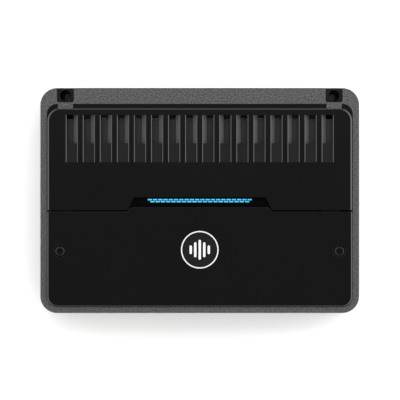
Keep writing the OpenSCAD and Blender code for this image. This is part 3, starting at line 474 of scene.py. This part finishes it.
def can_capacitors(node):
    """Sleeved cans with a crimp near the foot and a scored metal top."""
    sleeve = bmesh.new()
    tops = bmesh.new()
    for low, high in solids(node):
        r = (high.x - low.x) / 2 / MM
        h = (high.z - low.z) / MM
        centre = middle((low, high))
        place = Matrix.Translation((centre.x, centre.y, low.z))
        lathe(sleeve, [(0, 0), (r - 0.6, 0), (r - 0.15, 0.5), (r, 1.2), (r, 2.4),
                       (r - 0.7, 3.2), (r, 4.0), (r, h - 1), (r - 0.35, h - 0.25),
                       (r - 0.9, h - 0.02), (r - 1.4, h - 0.15), (r - 1.45, h - 0.6),
                       (0, h - 0.6)], place, steps=56)
        lathe(tops, [(0, h - 0.58), (r - 1.5, h - 0.58), (r - 1.5, h - 0.35),
                     (r - 1.8, h - 0.2), (0, h - 0.2)], place, steps=48)
        for spin in (0, 1, 2):
            turned = place @ Matrix.Rotation(math.radians(120 * spin + 15), 4, "Z")
            bar = bmesh.ops.create_cube(tops, size=1, matrix=turned
                                        @ Matrix.Translation((r * 0.32 * MM, 0, (h - 0.2) * MM))
                                        @ Matrix.Diagonal((r * 0.6 * MM, 0.5 * MM, 0.2 * MM, 1)))
            bmesh.ops.bevel(tops, geom=list({e for v in bar["verts"] for e in v.link_edges}),
                            offset=0.07 * MM, segments=1, affect="EDGES")
    replacement(node + "_sleeves", sleeve, node)
    recoat(new_piece(node + "_tops", tops, node), "bare_aluminium")


def jack_shell_pieces():
    """Gold jack collars: a flange, a threaded root and a rounded mouth."""
    bm = bmesh.new()
    for low, high in solids("jack_shells"):
        centre = middle((low, high))
        place = (Matrix.Translation((centre.x, high.y, centre.z))
                 @ Matrix.Rotation(math.pi / 2, 4, "X"))
        flange = (high.x - low.x) / 2 / MM
        length = (high.y - low.y) / MM
        r = flange - 1.4
        hole = r - 0.55
        profile = [(hole, 0), (flange - 0.2, 0), (flange, 0.2), (flange, 0.6),
                   (flange - 0.2, 0.8), (r, 0.8)]
        z = 1.0
        while z < 3.4:
            profile += [(r - 0.22, z), (r, z + 0.2)]
            z += 0.4
        profile += [(r, length - 0.3), (r - 0.12, length - 0.06), (r - 0.28, length),
                    (hole + 0.1, length - 0.08), (hole, length - 0.3), (hole, 0)]
        lathe(bm, profile, place, steps=64)
    bmesh.ops.remove_doubles(bm, verts=bm.verts, dist=0.001 * MM)
    replacement("jack_collars", bm, "jack_shells", 30)


def led_lenses():
    bm = bmesh.new()
    for low, high in solids("status_leds"):
        r = (high.x - low.x) / 2 / MM
        h = (high.z - low.z) / MM
        centre = middle((low, high))
        lathe(bm, [(0, 0), (r - 0.1, 0), (r, 0.1), (r, h - r)] + dome(r, h - r, r)[1:],
              Matrix.Translation((centre.x, centre.y, low.z)), steps=32)
    replacement("status_lenses", bm, "status_leds", 60)


def ribbed_ribbon():
    """A flat cable of round cores side by side between its two boards."""
    low, high = (Vector(c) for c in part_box("ribbon_cable"))
    cores = 16
    pitch = (high.x - low.x) / cores
    bm = bmesh.new()
    steps = 14
    y = (low.y + high.y) / 2
    for i in range(cores):
        x = low.x + pitch * (i + 0.5)
        rings = []
        for k in range(steps + 1):
            z = low.z + (high.z - low.z) * k / steps
            rings.append([bm.verts.new((x + 0.52 * pitch * math.cos(a),
                                        y + 0.35 * MM * math.sin(a), z))
                          for a in (2 * math.pi * s / 8 for s in range(8))])
        for a, b in zip(rings, rings[1:]):
            for s in range(8):
                bm.faces.new((a[s], a[(s + 1) % 8], b[(s + 1) % 8], b[s]))
        bm.faces.new(rings[0])
        bm.faces.new(rings[-1])
    replacement("ribbon_cores", bm, "ribbon_cable", 60)


# --------------------------------------------------------- camera and light

FLOOR_DROP = 0.2                  # how far the floor lies under the part, in mm
FRAME_WIDTH = 0.32                # what the picture spans at the rim's height, in metres
CAMERA_ABOVE_RIM = 2.6
SENSOR = 36.0


def add_camera():
    data = bpy.data.cameras.new("camera")
    data.sensor_width = SENSOR
    data.lens = SENSOR * CAMERA_ABOVE_RIM / FRAME_WIDTH
    data.clip_start = 0.05
    data.clip_end = 20
    cam = bpy.data.objects.new("camera", data)
    cam.location = (0.2 * MM, 0.4 * MM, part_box("chassis")[1][2] + CAMERA_ABOVE_RIM)
    bpy.context.scene.collection.objects.link(cam)
    bpy.context.scene.camera = cam


def area_light(name, place, target, size, power, colour=(1, 1, 1)):
    data = bpy.data.lights.new(name, "AREA")
    data.shape = "RECTANGLE"
    data.size, data.size_y = size
    data.energy = power
    data.color = colour
    lamp = bpy.data.objects.new(name, data)
    lamp.location = place
    aim = Vector(target) - Vector(place)
    lamp.rotation_euler = aim.to_track_quat("-Z", "Y").to_euler()
    bpy.context.scene.collection.objects.link(lamp)


def add_floor():
    bpy.ops.mesh.primitive_plane_add(size=8, location=(0, 0, -FLOOR_DROP * MM))
    floor = bpy.context.object
    floor.name = "floor"
    mat, tree, shader = node_material("floor")
    tone = spread(tree, object_noise(tree, 3, detail=1.0), 0, 1)
    tree.links.new(tinted(tree, tone, (0.93, 0.93, 0.93), (0.95, 0.95, 0.95)),
                   shader.inputs["Base Color"])
    shader.inputs["Roughness"].default_value = 0.9
    shader.inputs["Specular IOR Level"].default_value = 0.1
    floor.data.materials.append(mat)


def add_light():
    world = bpy.data.worlds.new("studio")
    world.use_nodes = True
    world.node_tree.nodes["Background"].inputs["Color"].default_value = (1, 1, 1, 1)
    world.node_tree.nodes["Background"].inputs["Strength"].default_value = 1.22
    bpy.context.scene.world = world
    area_light("rear_softbox", (0.05, 0.42, 0.62), (0.02, 0.06, 0), (0.7, 0.25), 1.2)
    area_light("overhead_softbox", (0.01, 0.23, 0.95), (0.01, 0.08, 0), (0.9, 0.16), 1.2)
    area_light("right_strip", (1.0, 0.25, 0.5), (0, 0, 0.03), (0.9, 0.3), 6)
    area_light("left_strip", (-1.0, 0.25, 0.5), (0, 0, 0.03), (0.9, 0.3), 1.5)
    bpy.context.scene.view_settings.view_transform = "Standard"


add_camera()
add_floor()
add_light()

button_screws("cover_screws", 2.0, 3.8, (0.7, 2.4), 1.45)
button_screws("deck_screws", 1.5, 2.9, (0.5, 1.7), 1.1)
button_screws("pcb_screws", 1.5, 2.9, (0.5, 1.7), 1.1)
for part in ("level_knob", "crossover_knob", "bass_knob", "subsonic_knob"):
    knurled_knob(part)
wound_toroid()
can_capacitors("rail_capacitors")
can_capacitors("filter_capacitors")
jack_shell_pieces()
led_lenses()
ribbed_ribbon()

EDGE_WIDTHS = {
    "chassis": 0.3, "top_lid": 0.18, "front_cover": 0.3, "base_plate": 0.3, "heat_sink": 0.3,
    "control_deck": 0.25, "light_bezel": 0.2, "rear_fins": 0.3, "notch_sleeves": 0.3,
    "frame_posts": 0.3, "well_tubes": 0.3, "power_transistors": 0.3, "thermal_pads": 0.1,
    "transistor_clamps": 0.2, "main_pcb": 0.15, "pcb_standoffs": 0.2, "toroid_core": 0.8,
    "output_inductors": 1.2, "control_pcb": 0.15, "potentiometers": 0.4,
    "switch_bodies": 0.25, "filter_switch": 0.35, "phase_switch": 0.35, "input_switch": 0.35,
    "led_board": 0.1, "connector_panel": 0.25, "jack_bodies": 0.4, "remote_port": 0.35,
    "speaker_housing": 0.4, "speaker_terminals": 0.25, "power_housing": 0.4,
    "power_terminals": 0.3, "badge_disc": 0.15, "badge_trim": 0.18,
}
for part, width in EDGE_WIDTHS.items():
    soften(part, width)
